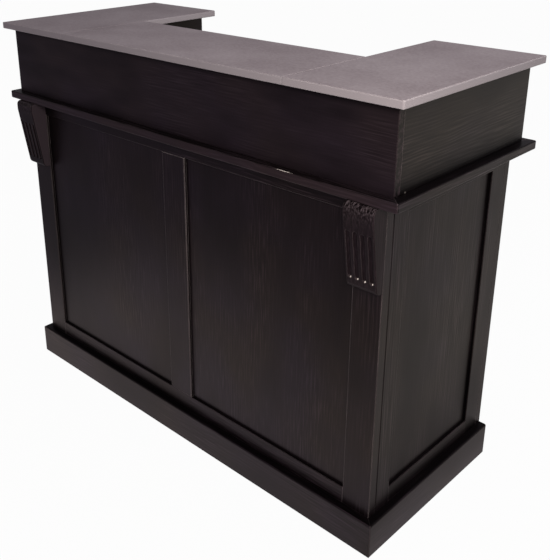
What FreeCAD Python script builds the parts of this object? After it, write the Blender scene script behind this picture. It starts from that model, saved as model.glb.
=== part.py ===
import FreeCAD, Part
import math
import os

from FreeCAD import Vector

# Portable bar: a hinged base of a front panel and two wings, a lift-off counter, and a lift-off
# riser that carries three top slabs. Millimetres, +Z up, front towards -Y, origin on the floor
# at the middle of the footprint.

# Base: front panel and two wings
body_width = 1352.0
body_depth = 536.0
frame_thickness = 26.0
panel_thickness = 10.0
panel_recess = 8.0
front_stile_width = 81.0
centre_stile_width = 88.0
wing_front_stile_width = 55.0
wing_back_stile_width = 62.0
back_lipping_width = 24.0
top_rail_height = 41.0
bottom_rail_show = 46.0
rebate_width = 10.0
tenon_length = 14.0
tenon_thickness = 8.0
tenon_setback = 5.0
tenon_shoulder = 10.0
edge_ease = 1.5
plinth_height = 96.0
plinth_thickness = 21.0
plinth_top_ease = 5.0
plinth_foot_ease = 2.0

# Counter
counter_height = 937.0
counter_thickness = 22.0
counter_front_overhang = 38.0
counter_side_overhang = 48.0
counter_back_overhang = 34.0
counter_lipping_width = 33.0
counter_corner_radius = 5.0
counter_edge_radius = 3.0

# Riser and top slabs
riser_height = 195.0
riser_board = 20.0
riser_front_setback = 23.0
riser_side_setback = 25.0
riser_back_setback = 31.0
slab_thickness = 18.0
slab_overhang = 26.0
slab_inner_overhang = 38.0
side_slab_width = 311.0
centre_slab_depth = 303.0
slab_corner_radius = 4.0
slab_edge_radius = 2.0
slab_foot_chamfer = 1.0
cleat_size = 22.0
cleat_end_gap = 15.0
corner_block_size = 30.0
seam_plate_length = 66.0
seam_plate_width = 40.0
seam_plate_thickness = 3.0
seam_plate_shares = (0.25, 0.75)

# Corbels
corbel_height = 209.0
corbel_projection = 49.0
corbel_nose_drop = 27.0
corbel_nose_radius = 12.0
corbel_brow_radius = 60.0
corbel_foot_projection = 21.0
corbel_foot_radius = 16.0
corbel_edge_ease = 2.0
flute_count = 4
flute_pitch = 19.5
flute_radius = 6.2
flute_depth = 4.5
flute_point = 7.0
flute_top_drop = 68.0
flute_foot_rise = 29.0

# Hinges and loose tongues
hinge_count = 3
hinge_height = 65.0
hinge_leaf_width = 30.0
hinge_leaf_thickness = 2.5
hinge_foot_margin = 65.0
hinge_top_margin = 130.0
knuckle_count = 3
knuckle_radius = 5.0
pin_radius = 2.8
tongue_length = 60.0
tongue_thickness = 8.0
tongue_taper = 2.0
counter_tongue_rise = 15.0
counter_tongue_hold = 20.0
riser_tongue_drop = 12.0
riser_tongue_hold = 20.0
riser_tongue_inset = 120.0

# Clearances
corner_gap = 1.2
mitre_gap = 0.6
side_clearance = 0.4
rest_gap = 0.3
panel_gap = 0.5
tenon_end_gap = 1.0
pin_clearance = 0.06
knuckle_gap = 0.5
tongue_clearance = 0.3

# Places worked out from the sizes
half_body = body_width / 2
overall_depth = corbel_projection + body_depth + counter_back_overhang
front_y = corbel_projection - overall_depth / 2
frame_back_y = front_y + frame_thickness
back_y = front_y + body_depth
base_top = counter_height - counter_thickness
bottom_rail_height = plinth_height + bottom_rail_show
opening_low = bottom_rail_height
opening_high = base_top - top_rail_height
wing_front_y = frame_back_y + corner_gap
wing_top = base_top - rest_gap
wing_inner_x = half_body - frame_thickness
counter_half = half_body + counter_side_overhang
counter_front_y = front_y - counter_front_overhang
counter_rear_y = back_y + counter_back_overhang
riser_half = counter_half - riser_side_setback
riser_front_y = counter_front_y + riser_front_setback
riser_rear_y = counter_rear_y - riser_back_setback
riser_base = counter_height + rest_gap
riser_top = counter_height + riser_height
slab_half = riser_half + slab_overhang
slab_front_y = riser_front_y - slab_overhang
slab_rear_y = riser_rear_y + slab_overhang
seam_x = slab_half - side_slab_width
well_half = seam_x + slab_inner_overhang
well_front_y = slab_front_y + centre_slab_depth - slab_inner_overhang
hinge_offset = knuckle_radius + knuckle_gap
hinge_x = wing_inner_x - hinge_offset
hinge_y = frame_back_y + hinge_offset
knuckle_length = hinge_height / knuckle_count

os.makedirs("parts", exist_ok=True)


def save(name, solids):
    shape = solids[0] if len(solids) == 1 else Part.makeCompound(solids)
    shape.exportStep("parts/" + name + ".step")


def mirrored(solid):
    return solid.mirror(Vector(0, 0, 0), Vector(1, 0, 0))


def save_pair(name, solids):
    """Right-hand solids as modelled, and the left-hand ones mirrored."""
    save("right_" + name, solids)
    save("left_" + name, [mirrored(solid) for solid in solids])


def box(low, high):
    return Part.makeBox(high[0] - low[0], high[1] - low[1], high[2] - low[2], Vector(*low))


def prism(plan, low_z, high_z):
    corners = [Vector(x, y, low_z) for x, y in plan]
    face = Part.Face(Part.makePolygon(corners + corners[:1]))
    return face.extrude(Vector(0, 0, high_z - low_z))


def fillet(solid, radius, wanted):
    """Round the edges whose bounding box passes the test."""
    return solid.makeFillet(radius, [edge for edge in solid.Edges if wanted(edge.BoundBox)])


def chamfer(solid, size, wanted):
    """Bevel the edges whose bounding box passes the test."""
    return solid.makeChamfer(size, [edge for edge in solid.Edges if wanted(edge.BoundBox)])


def near(a, b):
    return abs(a - b) < 1e-4


def level(z):
    """Test for edges that lie flat at one height."""
    return lambda b: near(b.ZMin, z) and near(b.ZMax, z)


def tongue_room(centre, half_size, low, high, spare=0.0):
    x, y = centre
    reach_x, reach_y = [half + spare for half in half_size]
    return box((x - reach_x, y - reach_y, low), (x + reach_x, y + reach_y, high))


def tongue(centre, half_size, low, high, tip):
    """Loose tongue between two boards, tapered at its free end."""
    return chamfer(tongue_room(centre, half_size, low, high), tongue_taper, level(tip))


along_x = (tongue_length / 2, tongue_thickness / 2)
along_y = (tongue_thickness / 2, tongue_length / 2)


# Frames are laid out by (across, depth behind the show face, height)
def front_place(across, depth, height):
    return (across, front_y + depth, height)


def wing_place(across, depth, height):
    return (half_body - depth, across, height)


def block(place, across, depth, height):
    """Box between two (across, depth, height) corners, each given as a (low, high) pair."""
    ends = zip(place(across[0], depth[0], height[0]), place(across[1], depth[1], height[1]))
    pairs = [sorted(pair) for pair in ends]
    return box([pair[0] for pair in pairs], [pair[1] for pair in pairs])


def rebate(place, across, height):
    """Room for a panel let in from behind, and the eased edge round its opening."""
    low, high = across
    bottom, top = height
    room = block(place, (low - rebate_width, high + rebate_width),
                 (panel_recess, frame_thickness),
                 (bottom - rebate_width, top + rebate_width))
    wires = []
    for depth, grow in ((0, edge_ease), (edge_ease, 0)):
        corners = [(low - grow, bottom - grow), (high + grow, bottom - grow),
                   (high + grow, top + grow), (low - grow, top + grow)]
        points = [Vector(*place(u, depth, z)) for u, z in corners]
        wires.append(Part.makePolygon(points + points[:1]))
    return [room, Part.makeLoft(wires, True)]


def panel(place, across, height):
    reach = rebate_width - panel_gap
    return block(place, (across[0] - reach, across[1] + reach),
                 (panel_recess, panel_recess + panel_thickness),
                 (height[0] - reach, height[1] + reach))


def rail(place, across, height):
    """Rail between two stiles with a stub tenon at each end; returns the rail and its mortises."""
    body = block(place, across, (0, frame_thickness), height)
    depth = (tenon_setback, tenon_setback + tenon_thickness)
    tongue = (height[0] + tenon_shoulder, height[1] - tenon_shoulder)
    reach = tenon_length + tenon_end_gap
    tenons = [block(place, (across[0] - tenon_length, across[0]), depth, tongue),
              block(place, (across[1], across[1] + tenon_length), depth, tongue)]
    mortises = [block(place, (across[0] - reach, across[0]), depth, tongue),
                block(place, (across[1], across[1] + reach), depth, tongue)]
    return body.fuse(tenons).removeSplitter(), mortises


# Butt hinges: the front leaf carries the pin, which turns in the wing leaf's knuckles
hinge_low = plinth_height + hinge_foot_margin
hinge_span = base_top - hinge_top_margin - hinge_height - hinge_low
hinge_feet = [hinge_low + hinge_span * i / (hinge_count - 1) for i in range(hinge_count)]


def barrel(radius, low, high):
    return Part.makeCylinder(radius, high - low, Vector(hinge_x, hinge_y, low))


def knuckles(foot, numbers, radius, spare=0.0):
    return [barrel(radius, foot + i * knuckle_length - spare, foot + (i + 1) * knuckle_length + spare)
            for i in numbers]


def hinge_leaf(foot, plate, own, others):
    """Leaf with its own knuckles rolled on, clear of the other leaf's."""
    leaf = plate.fuse(knuckles(foot, own, knuckle_radius)).removeSplitter()
    return leaf.cut(knuckles(foot, others, knuckle_radius + knuckle_gap, rest_gap))


front_leaves = []
wing_leaves = []
front_knuckles = range(0, knuckle_count, 2)
wing_knuckles = range(1, knuckle_count, 2)
for foot in hinge_feet:
    top = foot + hinge_height
    front_plate = box((hinge_x - hinge_leaf_width, frame_back_y, foot),
                      (hinge_x, frame_back_y + hinge_leaf_thickness, top))
    wing_plate = box((wing_inner_x - hinge_leaf_thickness, hinge_y, foot),
                     (wing_inner_x, hinge_y + hinge_leaf_width, top))
    front_leaf = hinge_leaf(foot, front_plate, front_knuckles, wing_knuckles)
    wing_leaf = hinge_leaf(foot, wing_plate, wing_knuckles, front_knuckles)
    front_leaves.append(front_leaf.fuse(barrel(pin_radius, foot, top)).removeSplitter())
    wing_leaves.append(wing_leaf.cut(barrel(pin_radius + pin_clearance, foot, top)))
save_pair("hinge_front_leaves", front_leaves)
save_pair("hinge_wing_leaves", wing_leaves)

# Corbel: an extruded profile with a rolled nose and a rounded foot, fluted down its sloping face
stile_inner = half_body - front_stile_width
corbel_centre = half_body - front_stile_width / 2
corbel_low = base_top - rest_gap - corbel_height
corbel_top = base_top - rest_gap
brow_z = corbel_top - corbel_nose_drop


def corbel():
    profile = [(0, corbel_low), (0, corbel_top), (corbel_projection, corbel_top),
               (corbel_projection, brow_z), (corbel_foot_projection, corbel_low)]
    points = [Vector(stile_inner, front_y - out, z) for out, z in profile]
    face = Part.Face(Part.makePolygon(points + points[:1]))
    solid = face.extrude(Vector(front_stile_width, 0, 0))
    nose_y = front_y - corbel_projection
    foot_y = front_y - corbel_foot_projection

    def crossing(y, z):
        return lambda b: near(b.YMin, y) and near(b.YMax, y) and near(b.ZMin, z) and near(b.ZMax, z)

    solid = fillet(solid, corbel_nose_radius, crossing(nose_y, corbel_top))
    solid = fillet(solid, corbel_brow_radius, crossing(nose_y, brow_z))
    solid = fillet(solid, corbel_foot_radius, crossing(foot_y, corbel_low))
    solid = chamfer(solid, corbel_edge_ease,
                    lambda b: near(b.XLength, 0) and b.YMin < front_y - corbel_edge_ease)
    return solid.cut(flutes())


def flutes():
    """Grooves with pointed ends, parallel to the sloping face and sunk into it by flute_depth."""
    fall = brow_z - corbel_low
    slope = (corbel_projection - corbel_foot_projection) / fall
    lean = math.atan(slope)
    lift = (flute_radius - flute_depth) / math.cos(lean)
    ends = [corbel_top - flute_top_drop, corbel_low + flute_foot_rise]
    cutters = []
    for i in range(flute_count):
        x = corbel_centre + (i - (flute_count - 1) / 2) * flute_pitch
        out = [corbel_projection - (brow_z - z) * slope + lift for z in ends]
        high, low = [Vector(x, front_y - o, z) for o, z in zip(out, ends)]
        run = low - high
        groove = Part.makeCylinder(flute_radius, run.Length, high, run)
        points = [Part.makeCone(flute_radius, 0, flute_point, end, way)
                  for end, way in ((high, run * -1), (low, run))]
        cutters.append(groove.fuse(points).removeSplitter())
    return cutters


save_pair("corbel", [corbel()])

# Front panel
full_height = (0, base_top)
front_openings = [(-stile_inner, -centre_stile_width / 2), (centre_stile_width / 2, stile_inner)]
opening = (opening_low, opening_high)
front_rebates = []
for across in front_openings:
    front_rebates += rebate(front_place, across, opening)
rail_span = (-stile_inner, stile_inner)
top_rail, top_mortises = rail(front_place, rail_span, (opening_high, base_top))
bottom_rail, bottom_mortises = rail(front_place, rail_span, (0, opening_low))

# The centre stile stands between the rails, tenoned into both
muntin_span = (-centre_stile_width / 2, centre_stile_width / 2)
muntin = block(front_place, muntin_span, (0, frame_thickness), opening)
muntin_depth = (tenon_setback, tenon_setback + tenon_thickness)
muntin_tongue = (muntin_span[0] + tenon_shoulder, muntin_span[1] - tenon_shoulder)
muntin_reach = tenon_length + tenon_end_gap
muntin_ends = ((opening_low, -1), (opening_high, 1))
muntin_tenons = [block(front_place, muntin_tongue, muntin_depth, sorted((end, end + way * tenon_length)))
                 for end, way in muntin_ends]
muntin_mortises = [block(front_place, muntin_tongue, muntin_depth, sorted((end, end + way * muntin_reach)))
                   for end, way in muntin_ends]
muntin = muntin.fuse(muntin_tenons).removeSplitter()

# Tongues stand in the top edge of the front panel and enter the counter from below
tongue_y = front_y + frame_thickness / 2
counter_tongue_places = [(x, tongue_y) for x in (-corbel_centre, 0, corbel_centre)]
counter_tongue_low = base_top - counter_tongue_hold
counter_tongue_high = base_top + counter_tongue_rise
counter_tongues = [tongue(place, along_x, counter_tongue_low, counter_tongue_high, counter_tongue_high)
                   for place in counter_tongue_places]
counter_slots = [tongue_room(place, along_x, counter_tongue_low, base_top)
                 for place in counter_tongue_places]
counter_sockets = [tongue_room(place, along_x, base_top, counter_tongue_high + tongue_clearance,
                               tongue_clearance) for place in counter_tongue_places]

stile = block(front_place, (stile_inner, half_body), (0, frame_thickness), full_height)
stile = fillet(stile, edge_ease, lambda b: near(b.XMin, half_body) and near(b.YMin, front_y)
               and near(b.XLength, 0) and near(b.YLength, 0))
stile = stile.cut(front_rebates + top_mortises + bottom_mortises + counter_slots)
save("front_right_stile", [stile])
save("front_left_stile", [mirrored(stile)])
save("front_centre_stile", [muntin.cut(front_rebates)])
save("front_top_rail", [top_rail.cut(front_rebates + muntin_mortises + counter_slots)])
save("front_bottom_rail", [bottom_rail.cut(front_rebates + muntin_mortises)])
for side, across in zip(("left", "right"), front_openings):
    save("front_" + side + "_panel", [panel(front_place, across, opening)])
save("counter_tongues", counter_tongues)

# Plinth boards, mitred at the front corners
plinth_x = half_body + plinth_thickness
plinth_y = front_y - plinth_thickness
front_plinth = prism([(-plinth_x, plinth_y), (plinth_x, plinth_y), (half_body, front_y),
                      (-half_body, front_y)], 0, plinth_height)
for height, radius in ((plinth_height, plinth_top_ease), (0, plinth_foot_ease)):
    front_plinth = fillet(front_plinth, radius, lambda b: near(b.YMax, plinth_y) and level(height)(b))
save("front_plinth", [front_plinth])

tongue_x = half_body + side_clearance
wing_plinth = prism([(half_body, back_y), (plinth_x, back_y), (plinth_x, plinth_y + mitre_gap),
                     (tongue_x, front_y - side_clearance + mitre_gap), (tongue_x, wing_front_y),
                     (half_body, wing_front_y)], 0, plinth_height)
for height, radius in ((plinth_height, plinth_top_ease), (0, plinth_foot_ease)):
    wing_plinth = fillet(wing_plinth, radius, lambda b: near(b.XMin, plinth_x) and level(height)(b))
save_pair("wing_plinth", [wing_plinth])

# Wings: a frame with one panel, and a lipping on the back edge
lipping_y = back_y - back_lipping_width
wing_opening = (wing_front_y + wing_front_stile_width, lipping_y - wing_back_stile_width)
wing_rebates = rebate(wing_place, wing_opening, opening)
wing_full = (0, wing_top)
wing_top_rail, high_mortises = rail(wing_place, wing_opening, (opening_high, wing_top))
wing_bottom_rail, low_mortises = rail(wing_place, wing_opening, (0, opening_low))
wing_cuts = wing_rebates + high_mortises + low_mortises
front_stile = block(wing_place, (wing_front_y, wing_opening[0]), (0, frame_thickness), wing_full)
back_stile = block(wing_place, (wing_opening[1], lipping_y), (0, frame_thickness), wing_full)
lipping = block(wing_place, (lipping_y, back_y), (0, frame_thickness), wing_full)
lipping = fillet(lipping, edge_ease, lambda b: near(b.XMin, half_body) and near(b.XLength, 0)
                 and near(b.YLength, 0))
save_pair("wing_front_stile", [front_stile.cut(wing_cuts)])
save_pair("wing_back_stile", [back_stile.cut(wing_cuts)])
save_pair("wing_top_rail", [wing_top_rail.cut(wing_rebates)])
save_pair("wing_bottom_rail", [wing_bottom_rail.cut(wing_rebates)])
save_pair("wing_panel", [panel(wing_place, wing_opening, opening)])
save_pair("wing_back_lipping", [lipping])

# Riser: an outer front and sides, and inner boards round the well, all on edge
riser_inner_y = riser_front_y + riser_board
side_inner_x = riser_half - riser_board
partition_x = well_half + riser_board
riser_tongue_x = well_half + riser_board / 2
riser_tongue_seats = []
for side in (-1, 1):
    riser_tongue_seats.append(((side * riser_tongue_x, riser_front_y + riser_board / 2), along_x))
    riser_tongue_seats.append(((side * (riser_half - riser_board / 2), riser_rear_y - riser_tongue_inset),
                               along_y))
riser_tongue_low = counter_height - riser_tongue_drop
riser_tongue_high = riser_base + riser_tongue_hold
riser_tongues = [tongue(place, size, riser_tongue_low, riser_tongue_high, riser_tongue_low)
                 for place, size in riser_tongue_seats]
riser_slots = [tongue_room(place, size, riser_base, riser_tongue_high) for place, size in riser_tongue_seats]
riser_sockets = [tongue_room(place, size, riser_tongue_low - tongue_clearance, counter_height,
                             tongue_clearance) for place, size in riser_tongue_seats]


def riser_piece(x, y):
    return box((x[0], y[0], riser_base), (x[1], y[1], riser_top))


front_board = riser_piece((-riser_half, riser_half), (riser_front_y, riser_inner_y))
front_board = fillet(front_board, edge_ease, lambda b: near(b.YMin, riser_front_y) and near(b.YLength, 0)
                     and near(b.XLength, 0))
side_board = riser_piece((side_inner_x, riser_half), (riser_inner_y, riser_rear_y))
inner_side = riser_piece((well_half, partition_x), (riser_inner_y, riser_rear_y))
inner_front = riser_piece((-well_half, well_half), (well_front_y - riser_board, well_front_y))
end_board = riser_piece((partition_x, side_inner_x), (riser_rear_y - riser_board, riser_rear_y))
save("riser_front_board", [front_board.cut(riser_slots)])
save_pair("riser_side_board", [side_board.cut(riser_slots)])
save_pair("riser_inner_side_board", [inner_side])
save("riser_inner_front_board", [inner_front])
save_pair("riser_end_board", [end_board])
save("riser_tongues", riser_tongues)

# Glue blocks in the corners of the two arms
block_plan = [(0, 0), (corner_block_size, 0), (0, corner_block_size)]
block_high = riser_top - cleat_size - cleat_end_gap
block_corners = [(side_inner_x, riser_inner_y, -1, 1), (side_inner_x, riser_rear_y - riser_board, -1, -1),
                 (partition_x, riser_inner_y, 1, 1), (partition_x, riser_rear_y - riser_board, 1, -1),
                 (well_half, well_front_y - riser_board, -1, -1)]
corner_blocks = []
for x, y, step_x, step_y in block_corners:
    plan = [(x + step_x * u, y + step_y * v) for u, v in block_plan]
    corner_blocks.append(prism(plan, riser_base, block_high))
save("riser_corner_blocks", corner_blocks + [mirrored(solid) for solid in corner_blocks])

# Cleats that hold the slabs down on the boards
cleat_low = riser_top - cleat_size
arm_cleat = box((side_inner_x - cleat_size, riser_inner_y + cleat_end_gap, cleat_low),
                (side_inner_x, riser_rear_y - riser_board - cleat_end_gap, riser_top))
centre_cleat = box((-seam_x + seam_plate_length / 2 + cleat_end_gap, riser_inner_y, cleat_low),
                   (seam_x - seam_plate_length / 2 - cleat_end_gap, riser_inner_y + cleat_size, riser_top))
save("slab_cleats", [arm_cleat, mirrored(arm_cleat), centre_cleat])

# Top slabs in a U, butted at two seams that are bridged by steel plates below
slab_low = riser_top
slab_high = riser_top + slab_thickness


def eased_slab(low, high, rounded):
    """Slab with the listed plan corners and its upper edges rounded, and its lower edges bevelled."""
    solid = box((low[0], low[1], slab_low), (high[0], high[1], slab_high))
    upright = [edge for edge in solid.Edges if near(edge.BoundBox.ZLength, slab_thickness)]
    corners = [edge for edge in upright
               if any(near(edge.BoundBox.XMin, x) and near(edge.BoundBox.YMin, y) for x, y in rounded)]
    if corners:
        solid = solid.makeFillet(slab_corner_radius, corners)
    solid = fillet(solid, slab_edge_radius, level(slab_high))
    return chamfer(solid, slab_foot_chamfer, level(slab_low))


right_slab = eased_slab((seam_x, slab_front_y), (slab_half, slab_rear_y),
                        [(slab_half, slab_front_y), (slab_half, slab_rear_y), (seam_x, slab_rear_y)])
centre_slab = eased_slab((-seam_x, slab_front_y), (seam_x, slab_front_y + centre_slab_depth), [])
save_pair("top_slab", [right_slab])
save("centre_top_slab", [centre_slab])
plate_room = (well_front_y - riser_board) - (riser_inner_y + cleat_size)
seam_plates = []
for share in seam_plate_shares:
    y = riser_inner_y + cleat_size + plate_room * share
    plate = box((seam_x - seam_plate_length / 2, y - seam_plate_width / 2,
                 slab_low - seam_plate_thickness),
                (seam_x + seam_plate_length / 2, y + seam_plate_width / 2, slab_low))
    seam_plates += [plate, mirrored(plate)]
save("seam_plates", seam_plates)

# Counter: rounded all round, then parted into a core board and four mitred lippings
counter = box((-counter_half, counter_front_y, base_top), (counter_half, counter_rear_y, counter_height))
counter = fillet(counter, counter_corner_radius, lambda b: near(b.ZLength, counter_thickness))
counter = fillet(counter, counter_edge_radius, lambda b: near(b.ZLength, 0))
counter = counter.cut(counter_sockets + riser_sockets)
core_half = counter_half - counter_lipping_width
core_front = counter_front_y + counter_lipping_width
core_rear = counter_rear_y - counter_lipping_width
core_plan = [(-core_half, core_front), (core_half, core_front),
             (core_half, core_rear), (-core_half, core_rear)]
outer_plan = [(-counter_half, counter_front_y), (counter_half, counter_front_y),
              (counter_half, counter_rear_y), (-counter_half, counter_rear_y)]
save("counter_board", [counter.common(prism(core_plan, base_top, counter_height))])
for i, side in enumerate(("front", "right", "back", "left")):
    j = (i + 1) % 4
    strip = prism([outer_plan[i], outer_plan[j], core_plan[j], core_plan[i]], base_top, counter_height)
    save("counter_" + side + "_lipping", [counter.common(strip)])
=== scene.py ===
import math

import bpy
from mathutils import Matrix, Vector


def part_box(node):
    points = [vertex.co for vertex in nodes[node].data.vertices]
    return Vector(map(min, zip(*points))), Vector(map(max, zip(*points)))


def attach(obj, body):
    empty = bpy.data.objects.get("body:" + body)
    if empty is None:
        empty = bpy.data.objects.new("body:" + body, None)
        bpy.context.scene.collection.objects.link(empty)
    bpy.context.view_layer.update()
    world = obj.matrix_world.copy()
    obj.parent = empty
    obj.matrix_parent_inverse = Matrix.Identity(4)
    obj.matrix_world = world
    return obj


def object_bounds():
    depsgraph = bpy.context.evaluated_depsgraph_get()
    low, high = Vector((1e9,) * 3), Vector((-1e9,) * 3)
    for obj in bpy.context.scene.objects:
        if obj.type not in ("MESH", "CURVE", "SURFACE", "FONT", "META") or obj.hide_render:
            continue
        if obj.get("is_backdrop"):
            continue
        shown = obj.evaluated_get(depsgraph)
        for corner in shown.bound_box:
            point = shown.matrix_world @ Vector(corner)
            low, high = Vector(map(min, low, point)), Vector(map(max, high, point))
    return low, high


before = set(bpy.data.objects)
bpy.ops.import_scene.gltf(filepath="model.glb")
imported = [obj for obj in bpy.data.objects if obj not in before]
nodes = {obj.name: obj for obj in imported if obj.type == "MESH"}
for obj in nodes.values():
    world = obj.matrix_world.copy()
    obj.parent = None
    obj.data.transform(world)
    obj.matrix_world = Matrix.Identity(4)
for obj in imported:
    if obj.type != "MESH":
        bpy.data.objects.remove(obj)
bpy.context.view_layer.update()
print("frame loaded:", len(nodes), "pieces")


def linear(hexColour):
    # sRGB hex to the linear colour that a socket takes
    values = [int(hexColour[i:i + 2], 16) / 255 for i in (1, 3, 5)]
    return [v / 12.92 if v <= 0.04045 else ((v + 0.055) / 1.055) ** 2.4 for v in values] + [1.0]


def addNode(tree, kind, inputs=None, **settings):
    node = tree.nodes.new(kind)
    for name, value in settings.items():
        setattr(node, name, value)
    for name, value in (inputs or {}).items():
        if isinstance(value, bpy.types.NodeSocket):
            tree.links.new(value, node.inputs[name])
        else:
            node.inputs[name].default_value = value
    return node


def newMaterial(name):
    material = bpy.data.materials.new(name)
    material.use_nodes = True
    tree = material.node_tree
    tree.nodes.clear()
    surface = addNode(tree, "ShaderNodeBsdfPrincipled")
    addNode(tree, "ShaderNodeOutputMaterial", {"Surface": surface.outputs["BSDF"]})
    return material, tree, surface


def perMetre(millimetres):
    return 1000 / millimetres


def grainScale(grain, width, length):
    # scale of a pattern that is drawn out along the board
    return [perMetre(length) if axis == grain else perMetre(width) for axis in "XYZ"]


def taken(low, high, start=0.0, end=1.0):
    # inputs of a range: what comes in from low to high goes out from start to end
    return {"From Min": low, "From Max": high, "To Min": start, "To Max": end}


def faceShare(tree, facing, axis, low, high, start=0.0, end=1.0):
    # goes from start to end as a face turns to look along the axis, either way
    look = addNode(tree, "ShaderNodeSeparateXYZ", {"Vector": facing}).outputs[axis]
    look = addNode(tree, "ShaderNodeMath", {0: look}, operation="ABSOLUTE")
    share = addNode(tree, "ShaderNodeMapRange", {"Value": look.outputs["Value"],
                                                 **taken(low, high, start, end)})
    return share.outputs["Result"]


# Ash stained near black under a satin lacquer that leaves the grain open: growth lines, fine streaks that
# catch the light in patches, painted shade in corners, reveals and joints, and arrises worn paler with a
# painted highlight on them. The colour is in the stain, and most of the brightness is the lacquer's sheen.
# Sizes are in millimetres, a pair being across the grain and along it. Spreads, turns and shares go from a
# start to an end
ash = {
    "dark": "#070506",
    "light": "#181214",
    "streak": "#30272c",
    # arrises: worn paler, and a painted highlight on them
    "wearHighlight": "#766a6c",
    "bare": "#d8cfc8",            # pale wood where a chip has gone through the stain, and painted glints
    "jointShade": "#040303",            # painted shade in the gap between the front and a wing
    "lacquerWarm": "#ffeac6",     # the sheen drifts between these over a board
    "lacquerCool": "#f2e2fd",
    "lacquerPore": "#a89c96",     # and is duller in the pores
    "lacquerInShade": "#000000",     # and almost gone in painted shade
    "drift": 240,
    "driftSpread": (0.36, 0.64),
    "growth": (10, 5000),         # from one growth line to the next, and how far it runs on
    "swing": (60, 240),           # how far across and along the board the lines wander
    "swingTurns": 5,
    "pore": (2.6, 100),           # real pores are about 0.3 mm wide, drawn coarser so that they show
    "patch": (170, 420),
    "patchShown": (0.4, 0.62),    # from a quiet patch to one where the lines come out
    "quiet": 0.1,                 # how much of the lines a quiet patch keeps
    "toneSpread": (0.3, 0.72),
    "streakSpread": (0.53, 0.7),
    "endGrain": (2.5, 9, 9),      # speckle where the surface runs across the fibres
    "endTurn": (0.2, 0.7),        # as the face turns to look along them
    "endSpread": (0.45, 0.65),
    "endDark": "#070506",
    "endTone": "#2d2428",
    "rollTurn": (0.5, 0.8),       # a carved roll shows end grain, but not on its flat ends
    "rollFalloff": 2.5,           # and it fades this fast down the roll
    "litSideTone": None,
    "sideTurn": (0.8, 0.95),
    "relief": 0.3,
    "reliefStrength": 0.8,
    "wearHighlightWidth": 2.0,
    "wearHighlightTurn": (0.8, 0.99),      # from a normal that turns round the arris to a flat one
    "wearHighlightPatch": (0.35, 0.65),
    "wearHighlightShare": (0.35, 0.85),
    "jointWidth": (1.8, 3.0),     # from the joint's middle: where the painted shade thins, and where it ends
    "jointShare": 0.8,
    "litUprightTurn": (0.3, 0.8),    # from an upright face to one that looks up
    "litUprightShare": 0.6,
    "chipOrGlintEdge": (1.2, 1.5),
    "clearInShade": 0.15,          # how much of the tone and the sheen is left in painted shade
    "clearInReveal": 0.2,
    "matt": 0.42,
    "polish": 0.07,               # how much glossier the raised lines are than the pores
    "polishSpread": (0.2, 0.8),
    "sheen": 0.225,
}
# upright boards: straight streaks that come and go, with hardly any growth lines
panelAsh = dict(ash, swing=(70, 900), pore=(2.6, 70), patchShown=(0.47, 0.72), streak="#2e2529",
                lacquerPore="#c8bcb5", relief=0.2, sheen=0.235)
# the arrises of the front's stiles are worn paler, with the widest and palest painted highlight
stileAsh = dict(panelAsh, wearHighlight="#b6aaaa", wearHighlightWidth=3.6)
# rails and plinth across the front: planed quarter-cut stock, so plainer
plainAsh = dict(ash, lacquerPore="#cfc3bc", relief=0.14, sheen=0.22)
# the wings catch the light flatly, so that their pores show in the sheen
wingAsh = dict(panelAsh, pore=(3.0, 110), patchShown=(0.4, 0.62), lacquerPore="#8c817b", relief=0.36)
# sanded after carving, so more matt, and the end grain on its curves takes the stain unevenly
carvedAsh = dict(ash, dark="#120d0f", light="#20181c", streak="#2a2125", endDark="#0b0708",
                 endTone="#554b4f", endGrain=(2, 14, 8), wearHighlightWidth=1.4, sheen=0.11)
# the left one's sides are painted paler, standing in for light from the right
carvedLeftAsh = dict(carvedAsh, litSideTone="#41383d")
# the riser's front is cloudy with few lines and a flatter sheen, and its sides show more of the figure
riserAsh = dict(ash, dark="#120d11", light="#231b20", streak="#2a2328", growth=(8, 5000), swing=(60, 420),
                patch=(80, 240), patchShown=(0.48, 0.76), lacquerPore="#b9aea6", relief=0.12, matt=0.5,
                sheen=0.265)
# the sides' tones are painted greyer than the front's, for the light that falls on that side
riserSideLitAsh = dict(riserAsh, dark="#0c0a0a", light="#1b1717", streak="#272222", patch=(170, 420),
                    patchShown=(0.4, 0.62), lacquerPore="#cdc2b6", relief=0.18, sheen=0.285)


def ashFigure(tree, place, grain, wavy, stain):
    # growth lines and pores, and the patches in which they come out
    drawn = {}
    for pattern in ("growth", "swing", "pore", "patch"):
        drawn[pattern] = addNode(tree, "ShaderNodeMapping", {
            "Vector": place, "Scale": grainScale(grain, *stain[pattern])}).outputs["Vector"]
    swing = addNode(tree, "ShaderNodeTexNoise", {"Vector": drawn["swing"], "Scale": 1.0, "Detail": 3.0})
    turns = addNode(tree, "ShaderNodeMath", {0: swing.outputs["Fac"], 1: stain["swingTurns"] * 2 * math.pi},
                    operation="MULTIPLY")
    # the wave texture repeats every 2 pi / 10 of its scaled length
    rings = addNode(tree, "ShaderNodeTexWave", {"Vector": drawn["growth"], "Scale": math.pi / 5,
                                                "Distortion": 0.0, "Phase Offset": turns.outputs["Value"]},
                    bands_direction="DIAGONAL")
    pores = addNode(tree, "ShaderNodeTexNoise", {"Vector": drawn["pore"], "Scale": 1.0, "Detail": 1.0,
                                                 "Roughness": 0.6})
    lines = addNode(tree, "ShaderNodeMix", {"Factor": wavy, "A": pores.outputs["Fac"],
                                            "B": rings.outputs["Fac"]}, data_type="FLOAT")
    patch = addNode(tree, "ShaderNodeTexNoise", {"Vector": drawn["patch"], "Scale": 1.0, "Detail": 2.0})
    shown = addNode(tree, "ShaderNodeMapRange", {"Value": patch.outputs["Fac"],
                                                 **taken(*stain["patchShown"], stain["quiet"])})
    return lines.outputs["Result"], patch.outputs["Fac"], shown.outputs["Result"]


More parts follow.
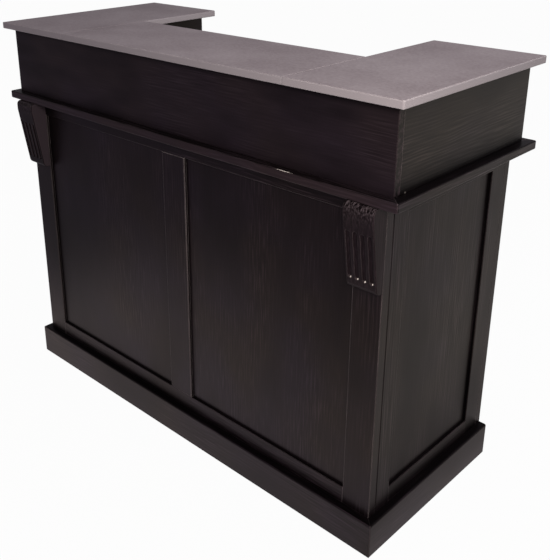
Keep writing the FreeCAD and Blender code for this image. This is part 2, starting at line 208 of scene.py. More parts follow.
def stainTones(tree, figure, lines, shown, stain):
    # dark to light with the figure, and streaks where the lines come out
    tone = addNode(tree, "ShaderNodeMapRange", {"Value": figure, **taken(*stain["toneSpread"])})
    colour = addNode(tree, "ShaderNodeMix", {"Factor": tone.outputs["Result"], "A": linear(stain["dark"]),
                                             "B": linear(stain["light"])}, data_type="RGBA")
    bright = addNode(tree, "ShaderNodeMapRange", {"Value": lines, **taken(*stain["streakSpread"])})
    streaks = addNode(tree, "ShaderNodeMath", {0: bright.outputs["Result"], 1: shown}, operation="MULTIPLY")
    colour = addNode(tree, "ShaderNodeMix", {"Factor": streaks.outputs["Value"],
                                             "A": colour.outputs["Result"],
                                             "B": linear(stain["streak"])}, data_type="RGBA")
    return tone.outputs["Result"], colour.outputs["Result"]


def cutEnds(tree, facing, grain, stain):
    # where a board's face looks along its fibres
    along = addNode(tree, "ShaderNodeSeparateXYZ", {"Vector": facing}).outputs[grain]
    along = addNode(tree, "ShaderNodeMath", {0: along, 1: along}, operation="MULTIPLY")
    cut = addNode(tree, "ShaderNodeMapRange", {"Value": along.outputs["Value"], **taken(*stain["endTurn"])})
    return cut.outputs["Result"]


def cutRoll(tree, facing, height, heights, stain):
    # up the curve of a carved roll, but not on its flat ends
    rolled = faceShare(tree, facing, "X", *stain["rollTurn"], 1.0, 0.0)
    cut = addNode(tree, "ShaderNodeMapRange", {"Value": height, **taken(*heights, 0.0, rolled)})
    cut = addNode(tree, "ShaderNodeMath", {0: cut.outputs["Result"], 1: stain["rollFalloff"]},
                  operation="POWER")
    return cut.outputs["Value"]


def endGrain(tree, place, cut, colour, stain):
    # fibres that are cut across take the stain unevenly
    fibres = addNode(tree, "ShaderNodeMapping", {"Vector": place,
                                                 "Scale": [perMetre(size) for size in stain["endGrain"]]})
    speckle = addNode(tree, "ShaderNodeTexNoise", {"Vector": fibres.outputs["Vector"], "Scale": 1.0})
    flecks = addNode(tree, "ShaderNodeMapRange", {"Value": speckle.outputs["Fac"],
                                                  **taken(*stain["endSpread"])})
    sawn = addNode(tree, "ShaderNodeMix", {"Factor": flecks.outputs["Result"],
                                           "A": linear(stain["endDark"]),
                                           "B": linear(stain["endTone"])}, data_type="RGBA")
    colour = addNode(tree, "ShaderNodeMix", {"Factor": cut, "A": colour, "B": sawn.outputs["Result"]},
                     data_type="RGBA")
    return speckle.outputs["Fac"], colour.outputs["Result"]


def rubbedLitArrises(tree, height, patch, rubbedOrLit, colour, stain):
    # worn paler, with a painted highlight, unevenly where a rounded normal turns away from the flat one
    rounded = addNode(tree, "ShaderNodeBevel", {"Radius": stain["wearHighlightWidth"] / 1000}, samples=4)
    flat = addNode(tree, "ShaderNodeNewGeometry").outputs["Normal"]
    turn = addNode(tree, "ShaderNodeVectorMath", {0: rounded.outputs["Normal"], 1: flat},
                   operation="DOT_PRODUCT")
    arris = addNode(tree, "ShaderNodeMapRange", {"Value": turn.outputs["Value"],
                                                 **taken(*stain["wearHighlightTurn"], 1.0, 0.0)})
    free = addNode(tree, "ShaderNodeMapRange", {"Value": height, **taken(*rubbedOrLit)})
    uneven = addNode(tree, "ShaderNodeMapRange", {"Value": patch,
                                                  **taken(*stain["wearHighlightPatch"], *stain["wearHighlightShare"])})
    rubAndHighlight = addNode(tree, "ShaderNodeMath", {0: arris.outputs["Result"], 1: free.outputs["Result"]},
                  operation="MULTIPLY")
    rubAndHighlight = addNode(tree, "ShaderNodeMath", {0: rubAndHighlight.outputs["Value"], 1: uneven.outputs["Result"]},
                  operation="MULTIPLY")
    colour = addNode(tree, "ShaderNodeMix", {"Factor": rubAndHighlight.outputs["Value"], "A": colour,
                                             "B": linear(stain["wearHighlight"])}, data_type="RGBA")
    return rounded.outputs["Normal"], colour.outputs["Result"]


def jointShadeLine(tree, place, jointAt, colour, stain):
    # painted shade: a dark, more matt line along the gap between the front and the wing
    depth = addNode(tree, "ShaderNodeSeparateXYZ", {"Vector": place}).outputs["Y"]
    depth = addNode(tree, "ShaderNodeMath", {0: depth, 1: jointAt}, operation="SUBTRACT")
    depth = addNode(tree, "ShaderNodeMath", {0: depth.outputs["Value"]}, operation="ABSOLUTE")
    near, far = [width / 1000 for width in stain["jointWidth"]]
    joint = addNode(tree, "ShaderNodeMapRange", {"Value": depth.outputs["Value"],
                                                 **taken(near, far, stain["jointShare"], 0.0)})
    colour = addNode(tree, "ShaderNodeMix", {"Factor": joint.outputs["Result"], "A": colour,
                                             "B": linear(stain["jointShade"])}, data_type="RGBA")
    matt = addNode(tree, "ShaderNodeMapRange", {"Value": joint.outputs["Result"],
                                                **taken(0.0, 1.0, stain["matt"], 1.0)})
    return matt.outputs["Result"], colour.outputs["Result"]


def litUprightFace(tree, facing, litUpright, colour, stain):
    # upright faces painted lighter than the top: a painted highlight
    upward = addNode(tree, "ShaderNodeSeparateXYZ", {"Vector": facing}).outputs["Z"]
    upright = addNode(tree, "ShaderNodeMapRange", {
        "Value": upward, **taken(*stain["litUprightTurn"], stain["litUprightShare"], 0.0)})
    colour = addNode(tree, "ShaderNodeMix", {"Factor": upright.outputs["Result"], "A": colour,
                                             "B": linear(litUpright)}, data_type="RGBA")
    return colour.outputs["Result"]


def chipOrGlint(tree, place, speckle, centre, half, colour, stain):
    # pale wood of a chip, or a painted glint, inside an ellipsoid with a ragged edge
    scale = [perMetre(size) for size in half]
    local = addNode(tree, "ShaderNodeMapping", {"Vector": place, "Scale": scale, "Location": [
        -middle * size / 1000 for middle, size in zip(centre, scale)]})
    reach = addNode(tree, "ShaderNodeVectorMath", {0: local.outputs["Vector"]}, operation="LENGTH")
    ragged = addNode(tree, "ShaderNodeMath", {0: reach.outputs["Value"], 1: speckle}, operation="ADD")
    inside = addNode(tree, "ShaderNodeMapRange", {"Value": ragged.outputs["Value"],
                                                  **taken(*stain["chipOrGlintEdge"], 1.0, 0.0)})
    colour = addNode(tree, "ShaderNodeMix", {"Factor": inside.outputs["Result"], "A": colour,
                                             "B": linear(stain["bare"])}, data_type="RGBA")
    return colour.outputs["Result"]


def lacquerFilm(tree, place, tone, stain):
    # tint of the sheen, which drifts from warm to cool over a board and is duller in the pores
    drift = addNode(tree, "ShaderNodeTexNoise", {"Vector": place, "Scale": perMetre(stain["drift"]),
                                                 "Detail": 1.0})
    drift = addNode(tree, "ShaderNodeMapRange", {"Value": drift.outputs["Fac"],
                                                 **taken(*stain["driftSpread"])})
    film = addNode(tree, "ShaderNodeMix", {"Factor": drift.outputs["Result"],
                                           "A": linear(stain["lacquerWarm"]),
                                           "B": linear(stain["lacquerCool"])}, data_type="RGBA")
    film = addNode(tree, "ShaderNodeMix", {"Factor": tone, "A": linear(stain["lacquerPore"]),
                                           "B": film.outputs["Result"]}, data_type="RGBA")
    return film.outputs["Result"]


def stainedAsh(name, grain, wavy, stain=ash, rubbedOrLit=(0.0, 0.004), endFrom=None, jointAt=None, litUpright=None,
               shadeBands=(), reveal=None, chipsAndGlints=()):
    # wavy: share of growth lines in the grain, the rest being pores
    # rubbedOrLit: heights between which free arrises start to be worn and painted as highlights
    # endFrom: heights between which a carved roll shows more end grain
    # jointAt: place of the corner joint, front to back
    # litUpright: tone of the upright faces, painted lighter as a highlight
    # shadeBands: pairs of heights, from painted shade to where the lacquer is clear
    # reveal: axis of the faces beside a panel or over a plinth, which are painted darker as shade
    # chipsAndGlints: centre and half size of each chip or painted glint in millimetres
    material, tree, surface = newMaterial(name)
    own = addNode(tree, "ShaderNodeTexCoord")
    place, facing = own.outputs["Object"], own.outputs["Normal"]      # both move with the piece
    height = addNode(tree, "ShaderNodeSeparateXYZ", {"Vector": place}).outputs["Z"]
    lines, patch, shown = ashFigure(tree, place, grain, wavy, stain)
    figure = addNode(tree, "ShaderNodeMix", {"Factor": shown, "A": patch, "B": lines},
                     data_type="FLOAT").outputs["Result"]

    tone, colour = stainTones(tree, figure, lines, shown, stain)
    if endFrom:
        cut = cutRoll(tree, facing, height, endFrom, stain)
    else:
        cut = cutEnds(tree, facing, grain, stain)
    speckle, colour = endGrain(tree, place, cut, colour, stain)
    # painted light: faces that look along X take a paler tone
    if stain["litSideTone"]:
        side = faceShare(tree, facing, "X", *stain["sideTurn"])
        colour = addNode(tree, "ShaderNodeMix", {
            "Factor": side, "A": colour, "B": linear(stain["litSideTone"])}, data_type="RGBA").outputs["Result"]
    rounded, colour = rubbedLitArrises(tree, height, patch, rubbedOrLit, colour, stain)
    matt = stain["matt"]
    if jointAt is not None:
        matt, colour = jointShadeLine(tree, place, jointAt, colour, stain)
    if litUpright:
        colour = litUprightFace(tree, facing, litUpright, colour, stain)
    for centre, half in chipsAndGlints:
        colour = chipOrGlint(tree, place, speckle, centre, half, colour, stain)

    # painted shade: both the tone and the sheen are darkened in the shade bands and in reveals
    film = lacquerFilm(tree, place, tone, stain)
    clear = []
    for heights in shadeBands:
        clear.append(addNode(tree, "ShaderNodeMapRange", {
            "Value": height, **taken(*heights, stain["clearInShade"])}).outputs["Result"])
    if reveal:
        clear.append(faceShare(tree, facing, reveal, *stain["sideTurn"], 1.0, stain["clearInReveal"]))
    for share in clear:
        film = addNode(tree, "ShaderNodeMix", {"Factor": share, "A": linear(stain["lacquerInShade"]),
                                               "B": film}, data_type="RGBA").outputs["Result"]
        colour = addNode(tree, "ShaderNodeMix", {"Factor": share, "A": linear(stain["endDark"]),
                                                 "B": colour}, data_type="RGBA").outputs["Result"]

    polish = addNode(tree, "ShaderNodeMapRange", {"Value": figure,
                                                  **taken(*stain["polishSpread"], 0.0, stain["polish"])})
    gloss = addNode(tree, "ShaderNodeMath", {0: matt, 1: polish.outputs["Result"]}, operation="SUBTRACT")
    relief = addNode(tree, "ShaderNodeBump", {"Height": figure, "Strength": stain["reliefStrength"],
                                              "Distance": stain["relief"] / 1000, "Normal": rounded})
    tree.links.new(colour, surface.inputs["Base Color"])
    tree.links.new(gloss.outputs["Value"], surface.inputs["Roughness"])
    tree.links.new(relief.outputs["Normal"], surface.inputs["Normal"])
    tree.links.new(film, surface.inputs["Specular Tint"])
    surface.inputs["Specular IOR Level"].default_value = stain["sheen"]
    return material


# Matt post-formed laminate on the slabs: mauve grey with a fine pearl mottle, paler on its edge band.
# Sizes are in millimetres
laminate = {
    "dark": "#766b6e",
    "light": "#8c8285",
    "toneSpread": (0.36, 0.64),
    "edge": "#a0989c",
    "edgeTurn": (0.1, 0.9),        # from an upright face to one that looks up
    "arris": "#f0e8ea",
    "arrisWidth": 4.0,
    "arrisTurn": (0.75, 0.97),
    "arrisShare": (0.2, 0.9),      # at a seam, and away from it
    "seamWidth": (5, 8),           # from the seam: where the fold begins, and where it is whole
    "mottle": 7,                   # drawn a little coarser than the real fleck so that it shows
    "cloud": 160,
    "cloudShare": 0.45,
    "relief": 0.2,
    "reliefStrength": 0.15,
    "matt": 0.48,
    "sheen": 0.4,
}


def greyLaminate():
    material, tree, surface = newMaterial("matt grey laminate")
    own = addNode(tree, "ShaderNodeTexCoord")
    place, facing = own.outputs["Object"], own.outputs["Normal"]
    flat = addNode(tree, "ShaderNodeNewGeometry").outputs["Normal"]
    fleck = addNode(tree, "ShaderNodeTexNoise", {"Vector": place, "Scale": perMetre(laminate["mottle"]),
                                                 "Detail": 3.0, "Roughness": 0.6})
    cloud = addNode(tree, "ShaderNodeTexNoise", {"Vector": place, "Scale": perMetre(laminate["cloud"]),
                                                 "Detail": 2.0})
    pearl = addNode(tree, "ShaderNodeMix", {"Factor": laminate["cloudShare"], "A": fleck.outputs["Fac"],
                                            "B": cloud.outputs["Fac"]}, data_type="FLOAT")
    tone = addNode(tree, "ShaderNodeMapRange", {"Value": pearl.outputs["Result"],
                                                **taken(*laminate["toneSpread"])})
    colour = addNode(tree, "ShaderNodeMix", {"Factor": tone.outputs["Result"],
                                             "A": linear(laminate["dark"]),
                                             "B": linear(laminate["light"])}, data_type="RGBA")
    upward = addNode(tree, "ShaderNodeSeparateXYZ", {"Vector": facing}).outputs["Z"]
    band = addNode(tree, "ShaderNodeMapRange", {"Value": upward, **taken(*laminate["edgeTurn"], 1.0, 0.0)})
    colour = addNode(tree, "ShaderNodeMix", {"Factor": band.outputs["Result"],
                                             "A": colour.outputs["Result"],
                                             "B": linear(laminate["edge"])}, data_type="RGBA")
    # the folded arris is painted paler as a highlight, and its rounded normal rounds off the light
    rounded = addNode(tree, "ShaderNodeBevel", {"Radius": laminate["arrisWidth"] / 1000}, samples=4)
    turn = addNode(tree, "ShaderNodeVectorMath", {0: rounded.outputs["Normal"], 1: flat},
                   operation="DOT_PRODUCT")
    # but hardly at the seams, where the slabs are sawn square
    across = addNode(tree, "ShaderNodeSeparateXYZ", {"Vector": place}).outputs["X"]
    across = addNode(tree, "ShaderNodeMath", {0: across}, operation="ABSOLUTE")
    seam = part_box("centre_top_slab")[1].x
    fromSeam = addNode(tree, "ShaderNodeMath", {0: across.outputs["Value"], 1: seam}, operation="SUBTRACT")
    fromSeam = addNode(tree, "ShaderNodeMath", {0: fromSeam.outputs["Value"]}, operation="ABSOLUTE")
    near, far = [width / 1000 for width in laminate["seamWidth"]]
    folded = addNode(tree, "ShaderNodeMapRange", {"Value": fromSeam.outputs["Value"],
                                                  **taken(near, far, *laminate["arrisShare"])})
    arris = addNode(tree, "ShaderNodeMapRange", {"Value": turn.outputs["Value"], **taken(
        *laminate["arrisTurn"], folded.outputs["Result"], 0.0)})
    colour = addNode(tree, "ShaderNodeMix", {"Factor": arris.outputs["Result"],
                                             "A": colour.outputs["Result"],
                                             "B": linear(laminate["arris"])}, data_type="RGBA")
    relief = addNode(tree, "ShaderNodeBump", {"Height": fleck.outputs["Fac"],
                                              "Strength": laminate["reliefStrength"],
                                              "Distance": laminate["relief"] / 1000,
                                              "Normal": rounded.outputs["Normal"]})
    tree.links.new(colour.outputs["Result"], surface.inputs["Base Color"])
    tree.links.new(relief.outputs["Normal"], surface.inputs["Normal"])
    surface.inputs["Roughness"].default_value = laminate["matt"]
    surface.inputs["Specular IOR Level"].default_value = laminate["sheen"]
    return material


# Rolled steel with a bright zinc plating: faint drawing lines up the leaf and a soft cloudy sheen
plating = {"dark": "#a9a59c", "light": "#c9c6bf", "lines": (0.8, 25), "matt": (0.28, 0.46)}


def zincSteel():
    material, tree, surface = newMaterial("bright zinc plated steel")
    place = addNode(tree, "ShaderNodeTexCoord").outputs["Object"]
    drawn = addNode(tree, "ShaderNodeMapping", {"Vector": place,
                                                "Scale": grainScale("Z", *plating["lines"])})
    lines = addNode(tree, "ShaderNodeTexNoise", {"Vector": drawn.outputs["Vector"], "Scale": 1.0,
                                                 "Detail": 2.0})
    colour = addNode(tree, "ShaderNodeMix", {"Factor": lines.outputs["Fac"], "A": linear(plating["dark"]),
                                             "B": linear(plating["light"])}, data_type="RGBA")
    rough = addNode(tree, "ShaderNodeMapRange", {"Value": lines.outputs["Fac"],
                                                 **taken(0.0, 1.0, *plating["matt"])})
    tree.links.new(colour.outputs["Result"], surface.inputs["Base Color"])
    tree.links.new(rough.outputs["Result"], surface.inputs["Roughness"])
    surface.inputs["Metallic"].default_value = 1.0
    return material


# Bare joinery timber inside: pale, matt, with soft growth lines along the piece
timber = {"growth": (5, 140), "toneSpread": (0.35, 0.65), "relief": 0.4, "reliefStrength": 0.2, "matt": 0.7}


def bareTimber(name, dark, light, grain):
    material, tree, surface = newMaterial(name)
    place = addNode(tree, "ShaderNodeTexCoord").outputs["Object"]
    drawn = addNode(tree, "ShaderNodeMapping", {"Vector": place,
                                                "Scale": grainScale(grain, *timber["growth"])})
    lines = addNode(tree, "ShaderNodeTexNoise", {"Vector": drawn.outputs["Vector"], "Scale": 1.0,
                                                 "Detail": 3.0})
    tone = addNode(tree, "ShaderNodeMapRange", {"Value": lines.outputs["Fac"],
                                                **taken(*timber["toneSpread"])})
    colour = addNode(tree, "ShaderNodeMix", {"Factor": tone.outputs["Result"], "A": linear(dark),
                                             "B": linear(light)}, data_type="RGBA")
    relief = addNode(tree, "ShaderNodeBump", {"Height": lines.outputs["Fac"],
                                              "Strength": timber["reliefStrength"],
                                              "Distance": timber["relief"] / 1000})
    tree.links.new(colour.outputs["Result"], surface.inputs["Base Color"])
    tree.links.new(relief.outputs["Normal"], surface.inputs["Normal"])
    surface.inputs["Roughness"].default_value = timber["matt"]
    return material


def heightsFrom(level, steps):
    # steps in millimetres up or down from a level of the frame
    return [level + step / 1000 for step in steps]


def markAt(corner, steps, half):
    # centre and half size of a mark, in millimetres: the centre goes by steps from a corner of its piece
    return [place * 1000 + step for place, step in zip(corner, steps)], half


# Stiles and the wings' back lippings
solidUp = stainedAsh("ebonised ash, grain upright", grain="Z", wavy=0.15, stain=stileAsh)
# painted shade on the back stile's face in its reveal
solidBack = stainedAsh("ebonised ash, grain upright, painted shade in its reveal", grain="Z", wavy=0.15,
                       stain=wingAsh, reveal="Y")
# painted shade: a dark line down the gap between the front and each wing
jointY = (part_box("front_right_stile")[1].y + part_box("right_wing_front_stile")[0].y) / 2
jointUp = stainedAsh("ebonised ash, grain upright, beside the joint", grain="Z", wavy=0.15,
                     stain=stileAsh, jointAt=jointY)
jointWing = stainedAsh("ebonised ash, grain upright, wing beside the joint", grain="Z", wavy=0.15,
                       stain=wingAsh, jointAt=jointY)

# Panels, rails and plinths
veneerUp = stainedAsh("ebonised ash veneer, grain upright", grain="Z", wavy=0.1, stain=panelAsh)
veneerWing = stainedAsh("ebonised ash veneer, grain upright on the wings", grain="Z", wavy=0.1,
                        stain=wingAsh)
# the tops of the rails and plinths are painted darker as shade
solidWide = stainedAsh("ebonised ash, grain across the front", grain="X", wavy=0.1, stain=plainAsh,
                       reveal="Z")
solidDeep = stainedAsh("ebonised ash, grain front to back", grain="Y", wavy=0.1, reveal="Z")

# Lippings round the counter, which make the ledge; millimetres
ledge = {
    "litUpright": "#33292d",
    "rubbedOrLit": (8, 12),           # up from its underside
    "shadedTop": (0, -1.5),          # down from the top of its sides
    # a pale mark along the top of its front edge
    "paleMark": (419, 0.5, 0),      # from the middle of its front edge
    "paleMarkHalf": (33, 2.0, 1.2),
}
ledgeLow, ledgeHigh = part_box("counter_front_lipping")
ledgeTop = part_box("counter_right_lipping")[1].z
paleMark = markAt((0, ledgeLow.y, ledgeHigh.z), ledge["paleMark"], ledge["paleMarkHalf"])
# the ledge's front is painted lighter than its top, as a highlight
ledgeWide = stainedAsh("ebonised ash, front painted lighter", grain="X", wavy=0.25, litUpright=ledge["litUpright"],
                       rubbedOrLit=heightsFrom(ledgeLow.z, ledge["rubbedOrLit"]), chipsAndGlints=[paleMark])
# painted shade on the top of the side lippings, beside the riser
ledgeDeep = stainedAsh("ebonised ash, ledge at the sides", grain="Y", wavy=0.1,
                       shadeBands=[heightsFrom(ledgeTop, ledge["shadedTop"])])

# Boards of the riser, with painted shade under the slabs and along the ledge; millimetres
riser = {
    "rubbedOrLit": (4, 8),            # up from its foot
    "frontHead": (0, -20),       # down from the slabs
    "sideHead": (10, -16),
    "sideFoot": (4, 62),
    "chip": (0, 19.5, 2.7),      # from the lower front corner of its right side
    "chipHalf": (2.4, 3, 2.2),
}
riserFoot, riserHead = [corner.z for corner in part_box("riser_front_board")]
sideLow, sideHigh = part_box("right_riser_side_board")
chip = markAt((sideHigh.x, sideLow.y, sideLow.z), riser["chip"], riser["chipHalf"])
riserRubbedOrLit = heightsFrom(riserFoot, riser["rubbedOrLit"])
veneerWide = stainedAsh("ebonised ash veneer, grain across the front", grain="X", wavy=0.12,
                        stain=riserAsh, rubbedOrLit=riserRubbedOrLit,
                        shadeBands=[heightsFrom(riserHead, riser["frontHead"])])
veneerDeep = stainedAsh("ebonised ash veneer, grain front to back", grain="Y", wavy=0.22,
                        stain=riserSideLitAsh, rubbedOrLit=riserRubbedOrLit, chipsAndGlints=[chip],
                        shadeBands=[heightsFrom(riserHead, riser["sideHead"]),
                              heightsFrom(riserFoot, riser["sideFoot"])])

# Corbels, with end grain on the roll, and a painted glint at the foot of each flute of the right one.
# Millimetres
corbel = {
    "roll": (-60, -8),           # down from its top
    "flutes": 4,
    "flutePitch": 19.5,
    "footIn": 27,                # in from its front
    "footUp": 27.3,              # up from its foot
    "glintHalf": (2.1, 4, 2.1),
}
corbelLow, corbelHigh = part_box("right_corbel")
noseRoll = heightsFrom(corbelHigh.z, corbel["roll"])
corbelFoot = ((corbelLow.x + corbelHigh.x) / 2, corbelLow.y, corbelLow.z)
fluteGlints = []
for i in range(corbel["flutes"]):
    aside = (i - (corbel["flutes"] - 1) / 2) * corbel["flutePitch"]
    fluteGlints.append(markAt(corbelFoot, (aside, corbel["footIn"], corbel["footUp"]), corbel["glintHalf"]))
carved = stainedAsh("ebonised ash, carved", grain="Z", wavy=0.1, stain=carvedAsh, endFrom=noseRoll,
                    chipsAndGlints=fluteGlints)
carvedLeft = stainedAsh("ebonised ash, carved, sides painted paler", grain="Z", wavy=0.1, stain=carvedLeftAsh,
                        endFrom=noseRoll)

slabFace = greyLaminate()
zinc = zincSteel()
beech = bareTimber("planed beech", dark="#b58c62", light="#cfa87c", grain="Z")
spruce = bareTimber("sawn spruce", dark="#c2a274", light="#dcc298", grain="Y")

# the finish of a piece goes by the end of its name, and the longest end counts
finishes = {
    "top_slab": slabFace,
    "board": veneerWide, "side_board": veneerDeep,
    "lipping": ledgeWide, "left_lipping": ledgeDeep, "right_lipping": ledgeDeep,
    "wing_back_lipping": solidUp,
    "panel": veneerUp, "wing_panel": veneerWing,
    "rail": solidDeep, "front_top_rail": solidWide, "front_bottom_rail": solidWide,
    "plinth": solidDeep, "front_plinth": solidWide,
    "stile": jointUp, "centre_stile": solidUp, "wing_front_stile": jointWing, "wing_back_stile": solidBack,
    "left_corbel": carvedLeft, "right_corbel": carved,
    "leaves": zinc, "seam_plates": zinc,
    "tongues": beech, "slab_cleats": spruce, "corner_blocks": spruce,
}
for name, piece in nodes.items():
    ending = max((end for end in finishes if name.endswith(end)), key=len)
    piece.material_slots[0].material = finishes[ending]
print("finishes set")

# Countersunk cross-head screws that hold the hinge leaves, two to a leaf; metres
screw = {
    "headRadius": 0.0038,
    "headHeight": 0.0007,
    "sides": 24,
    "rim": 0.4,                 # bevel, as a share of the head's height
    "slotLength": 1.1,          # as a share of the head's radius
    "slotWidth": 0.0011,
    "slotDepth": 0.0005,
    "leafThickness": 0.0025,
    "fromEdge": 0.011,          # from the free edge of the leaf
    "hingeHeight": 0.065,
    "hingesPerCorner": 3,
    "upTheLeaf": (0.2, 0.8),    # as shares of the hinge's height
}


def deselectAll():
    bpy.ops.object.select_all(action="DESELECT")


def screwHead():
    # a low disc with a bevelled rim and a cross sunk into it, its face towards +Z
    deselectAll()
    bpy.ops.mesh.primitive_cylinder_add(vertices=screw["sides"], radius=screw["headRadius"],
                                        depth=screw["headHeight"], location=(0, 0, screw["headHeight"] / 2))
    head = bpy.context.object
    bpy.ops.object.mode_set(mode="EDIT")
    bpy.ops.mesh.select_all(action="DESELECT")
    bpy.ops.object.mode_set(mode="OBJECT")
    for face in head.data.polygons:
        face.select = face.normal.z > 0.9      # the top alone
    bpy.ops.object.mode_set(mode="EDIT")
    bpy.ops.mesh.bevel(offset=screw["headHeight"] * screw["rim"], segments=2, affect="EDGES")
    bpy.ops.object.mode_set(mode="OBJECT")
    for turn in (0, math.pi / 2):
        deselectAll()
        bpy.ops.mesh.primitive_cube_add(size=1, location=(0, 0, screw["headHeight"]), rotation=(0, 0, turn))
        cutter = bpy.context.object
        cutter.scale = (screw["headRadius"] * screw["slotLength"], screw["slotWidth"],
                        screw["slotDepth"] * 2)
        deselectAll()
        head.select_set(True)
        bpy.context.view_layer.objects.active = head
        sink = head.modifiers.new("cross", "BOOLEAN")
        sink.object = cutter
        sink.operation = "DIFFERENCE"
        bpy.ops.object.modifier_apply(modifier=sink.name)
        bpy.data.objects.remove(cutter)
    return head


def screwRow(name, body, places, facing):
    # copies of the head, set at each place with the face turned outwards, joined as one piece
    turn = Vector((0, 0, 1)).rotation_difference(Vector(facing)).to_matrix().to_4x4()
    copies = []
    for place in places:
        copy = headPattern.copy()
        copy.data = headPattern.data.copy()
        bpy.context.collection.objects.link(copy)
        copy.data.transform(Matrix.Translation(place) @ turn)
        copies.append(copy)
    deselectAll()
    for copy in copies:
        copy.select_set(True)
    bpy.context.view_layer.objects.active = copies[0]
    bpy.ops.object.join()
    row = bpy.context.object
    row.name = name
    row.data.materials.clear()
    row.data.materials.append(zinc)
    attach(row, body)


headPattern = screwHead()
for side, way in (("left", -1), ("right", 1)):
    low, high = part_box(side + "_hinge_front_leaves")
    steps = [(high.z - low.z - screw["hingeHeight"]) * i / (screw["hingesPerCorner"] - 1)
             for i in range(screw["hingesPerCorner"])]
    heights = [low.z + step + screw["hingeHeight"] * share
               for step in steps for share in screw["upTheLeaf"]]
    freeEdge = high.x if way < 0 else low.x
    frontX = freeEdge + way * screw["fromEdge"]
    frontY = low.y + screw["leafThickness"]
    screwRow(side + "HingeFrontScrews", "front_panel", [(frontX, frontY, z) for z in heights], (0, 1, 0))
    low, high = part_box(side + "_hinge_wing_leaves")
    wingX = (high.x if way > 0 else low.x) - way * screw["leafThickness"]
    wingY = high.y - screw["fromEdge"]
    screwRow(side + "HingeWingScrews", side + "_wing", [(wingX, wingY, z) for z in heights], (-way, 0, 0))
bpy.data.objects.remove(headPattern)
print("hinge screws set")

# Camera at the photograph's place; the frame is 550 x 560 and the photograph is cropped off centre
view = {
    "eye": (1.5588, -1.6027, 1.5311),
    "heading": 44.539,
    "down": 20.868,
    "roll": -0.428,
    "lens": 53.465,
    "sensor": 36,
    "shift": (0.0684, -0.1484),
}
bpy.ops.object.camera_add()
camera = bpy.context.object
camera.matrix_world = (Matrix.Translation(view["eye"])
                       @ Matrix.Rotation(math.radians(view["heading"]), 4, "Z")
                       @ Matrix.Rotation(math.radians(90 - view["down"]), 4, "X")
                       @ Matrix.Rotation(math.radians(view["roll"]), 4, "Z"))
camera.data.sensor_fit = "HORIZONTAL"
camera.data.sensor_width = view["sensor"]
camera.data.lens = view["lens"]
camera.data.shift_x, camera.data.shift_y = view["shift"]
bpy.context.scene.camera = camera

# Soft studio light: a wide panel overhead and a smaller key beside the camera, aimed at the bar's middle
lights = {
    "overhead panel": {"from": (0.9, 0.4, 3.3), "size": 1.6, "power": 40, "colour": "#ffffff"},
    "key": {"from": (1.45, -1.15, 1.6), "size": 0.5, "power": 20, "colour": "#fff8f0"},
}
aim = Vector((0, 0, 0.6))
for name, lamp in lights.items():
    bpy.ops.object.light_add(type="AREA", location=lamp["from"])
    light = bpy.context.object
    light.name = name
    light.data.size = lamp["size"]
    light.data.energy = lamp["power"]
    light.data.color = linear(lamp["colour"])[:3]
    light.rotation_euler = (aim - Vector(lamp["from"])).to_track_quat("-Z", "Y").to_euler()

# the room fills in softly, and the camera sees it as white
room = {"tint": "#ece4ee", "fill": 0.26, "seen": "#ffffff"}
world = bpy.data.worlds.new("studio")
bpy.context.scene.world = world
world.use_nodes = True
tree = world.node_tree
seen = addNode(tree, "ShaderNodeLightPath").outputs["Is Camera Ray"]
tint = addNode(tree, "ShaderNodeMix", {"Factor": seen, "A": linear(room["tint"]),
                                       "B": linear(room["seen"])}, data_type="RGBA")
fill = addNode(tree, "ShaderNodeMapRange", {"Value": seen, **taken(0.0, 1.0, room["fill"], 1.0)})
tree.links.new(tint.outputs["Result"], tree.nodes["Background"].inputs["Color"])
tree.links.new(fill.outputs["Result"], tree.nodes["Background"].inputs["Strength"])

# Pale floor that the camera sees as near white, with the bar's soft shadow left on it
paperSheet = {
    "size": 24,
    "below": 0.0006,           # clear of the plinth's underside
    "colour": "#c4c4c4",
    "matt": 0.9,
    "seen": "#ffffff",
    "whiteness": 0.97,
    "dim": "#97889a",          # the room in front of the sheet, as the lacquer mirrors it
    "front": (-1.34, -0.8),    # metres, from the room to the sheet
    "across": (-2.0, 3.0),     # metres, from left to right; the shades that the lacquer mirrors are at shares of this
    "sideways": [(0.13, "#9a949d"), (0.24, "#fdeef1"), (0.53, "#fdf0f4"), (0.56, "#aea6a2"),
                 (0.6, "#e6ddd8"), (0.66, "#e8dfda"), (0.75, "#bdb5b0"), (0.8, "#c6beb9"),
                 (0.88, "#fdf8f4")],
}
deselectAll()
bpy.ops.mesh.primitive_plane_add(size=1)
floor = bpy.context.object
floor.data.transform(Matrix.Translation((0, 0, -paperSheet["below"]))
                     @ Matrix.Diagonal((paperSheet["size"], paperSheet["size"], 1, 1)))
floor.name = "floor"
floor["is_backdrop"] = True
paper, tree, surface = newMaterial("white paper floor")
surface.inputs["Base Color"].default_value = linear(paperSheet["colour"])
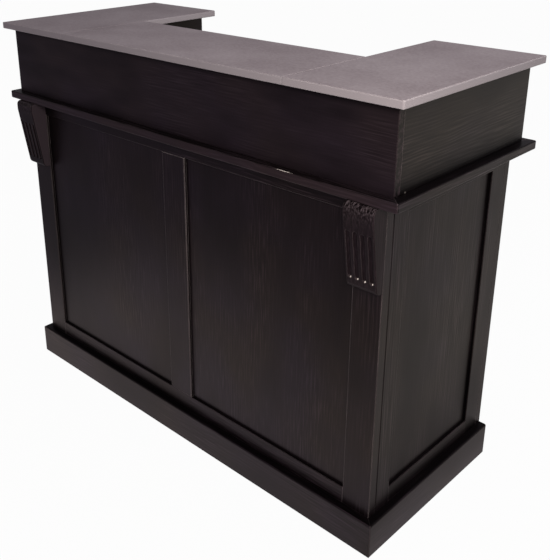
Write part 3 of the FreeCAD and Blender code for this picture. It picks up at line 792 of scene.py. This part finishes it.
surface.inputs["Roughness"].default_value = paperSheet["matt"]
rays = addNode(tree, "ShaderNodeLightPath").outputs
onFloor = addNode(tree, "ShaderNodeSeparateXYZ",
                  {"Vector": addNode(tree, "ShaderNodeTexCoord").outputs["Object"]}).outputs
# painted reflection: glossy rays see the floor glow in set shades, a pale sweep beside the bar that falls
# off into a dim room in front
inFront = addNode(tree, "ShaderNodeMapRange", {"Value": onFloor["Y"], **taken(*paperSheet["front"])})
sideways = addNode(tree, "ShaderNodeMapRange", {"Value": onFloor["X"], **taken(*paperSheet["across"])})
sideways = addNode(tree, "ShaderNodeValToRGB", {"Fac": sideways.outputs["Result"]})
stops = sideways.color_ramp.elements
for at, shade in paperSheet["sideways"]:
    stops.new(at).color = linear(shade)
stops.remove(stops[-1])        # the two that a new ramp starts with
stops.remove(stops[0])
swept = addNode(tree, "ShaderNodeMix", {"Factor": inFront.outputs["Result"], "A": linear(paperSheet["dim"]),
                                        "B": sideways.outputs["Color"]}, data_type="RGBA")
polished = addNode(tree, "ShaderNodeMath", {0: rays["Is Glossy Ray"], 1: rays["Is Transmission Ray"]},
                   operation="MAXIMUM")
colour = addNode(tree, "ShaderNodeMix", {"Factor": rays["Is Camera Ray"], "A": swept.outputs["Result"],
                                         "B": linear(paperSheet["seen"])}, data_type="RGBA")
plain = addNode(tree, "ShaderNodeMath", {0: rays["Is Camera Ray"], 1: paperSheet["whiteness"]},
                operation="MULTIPLY")
share = addNode(tree, "ShaderNodeMath", {0: plain.outputs["Value"], 1: polished.outputs["Value"]},
                operation="MAXIMUM")
glow = addNode(tree, "ShaderNodeEmission", {"Color": colour.outputs["Result"], "Strength": 1.0})
mixed = addNode(tree, "ShaderNodeMixShader", {0: share.outputs["Value"], 1: surface.outputs["BSDF"],
                                              2: glow.outputs["Emission"]})
tree.links.new(mixed.outputs["Shader"], tree.nodes["Material Output"].inputs["Surface"])
floor.data.materials.append(paper)

bpy.context.scene.view_settings.view_transform = "Standard"
print("camera, light and floor set")

low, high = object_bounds()
